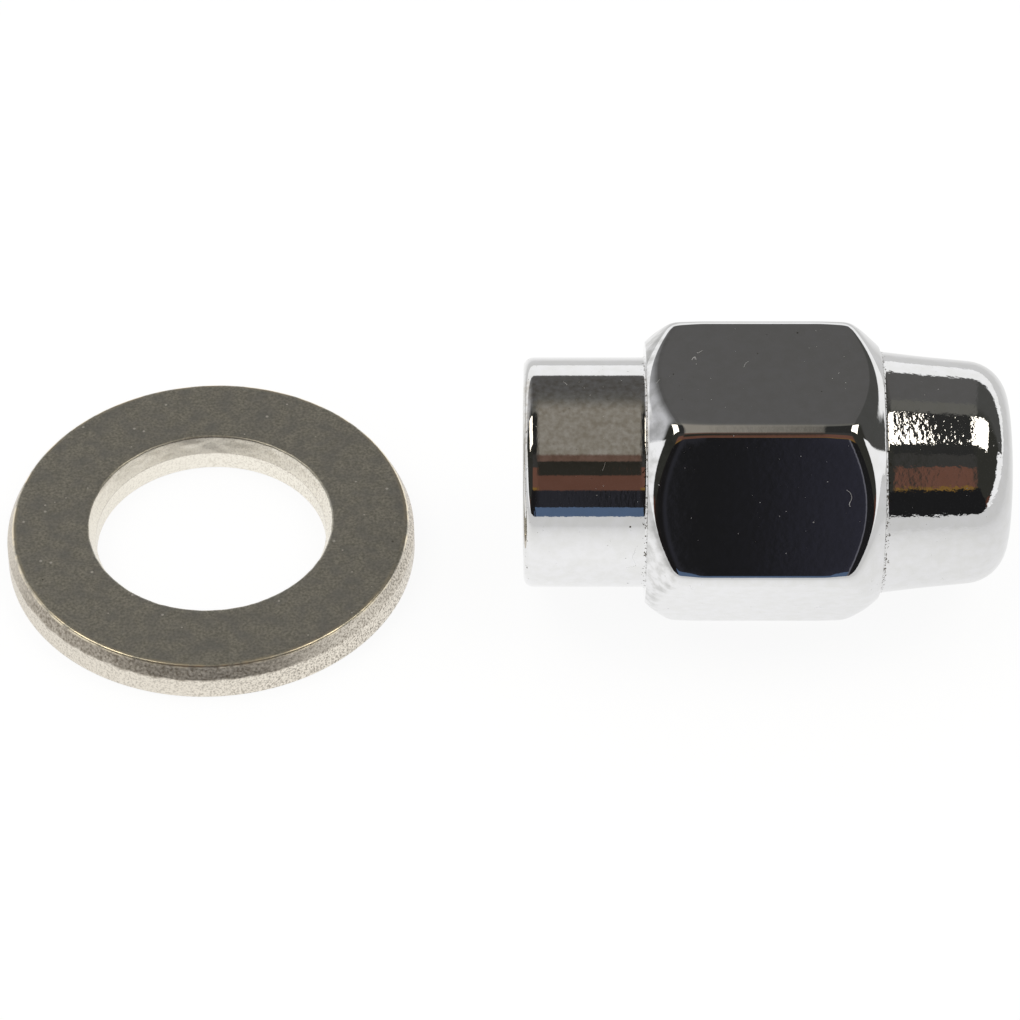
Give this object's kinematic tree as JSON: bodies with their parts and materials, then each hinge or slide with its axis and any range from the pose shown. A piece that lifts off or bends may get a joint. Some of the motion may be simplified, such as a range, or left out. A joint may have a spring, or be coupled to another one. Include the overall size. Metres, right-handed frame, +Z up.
{
  "type": "mag lug nut",
  "caption": "Closed-end shank lug nut with a rounded hexagon and a domed cap in bright chrome, lying beside its loose flat steel washer; it clamps a wheel onto a threaded stud.",
  "frame": {"origin": "on the surface that both pieces rest on, under the middle of the pair's box", "axes": "+X along the nut's axis, from its open shank to its dome; +Z up, from the surface"},
  "size_m": [0.0768, 0.0314, 0.0206],
  "materials": {
    "chrome_plate": "bright chrome plate over polished steel",
    "plain_steel": "tumbled plain steel, matt on the faces and burnished on the sheared edges"
  },
  "bodies": {
    "root": {"lug_nut": "chrome_plate", "washer": "plain_steel"}
  },
  "joints": []
}
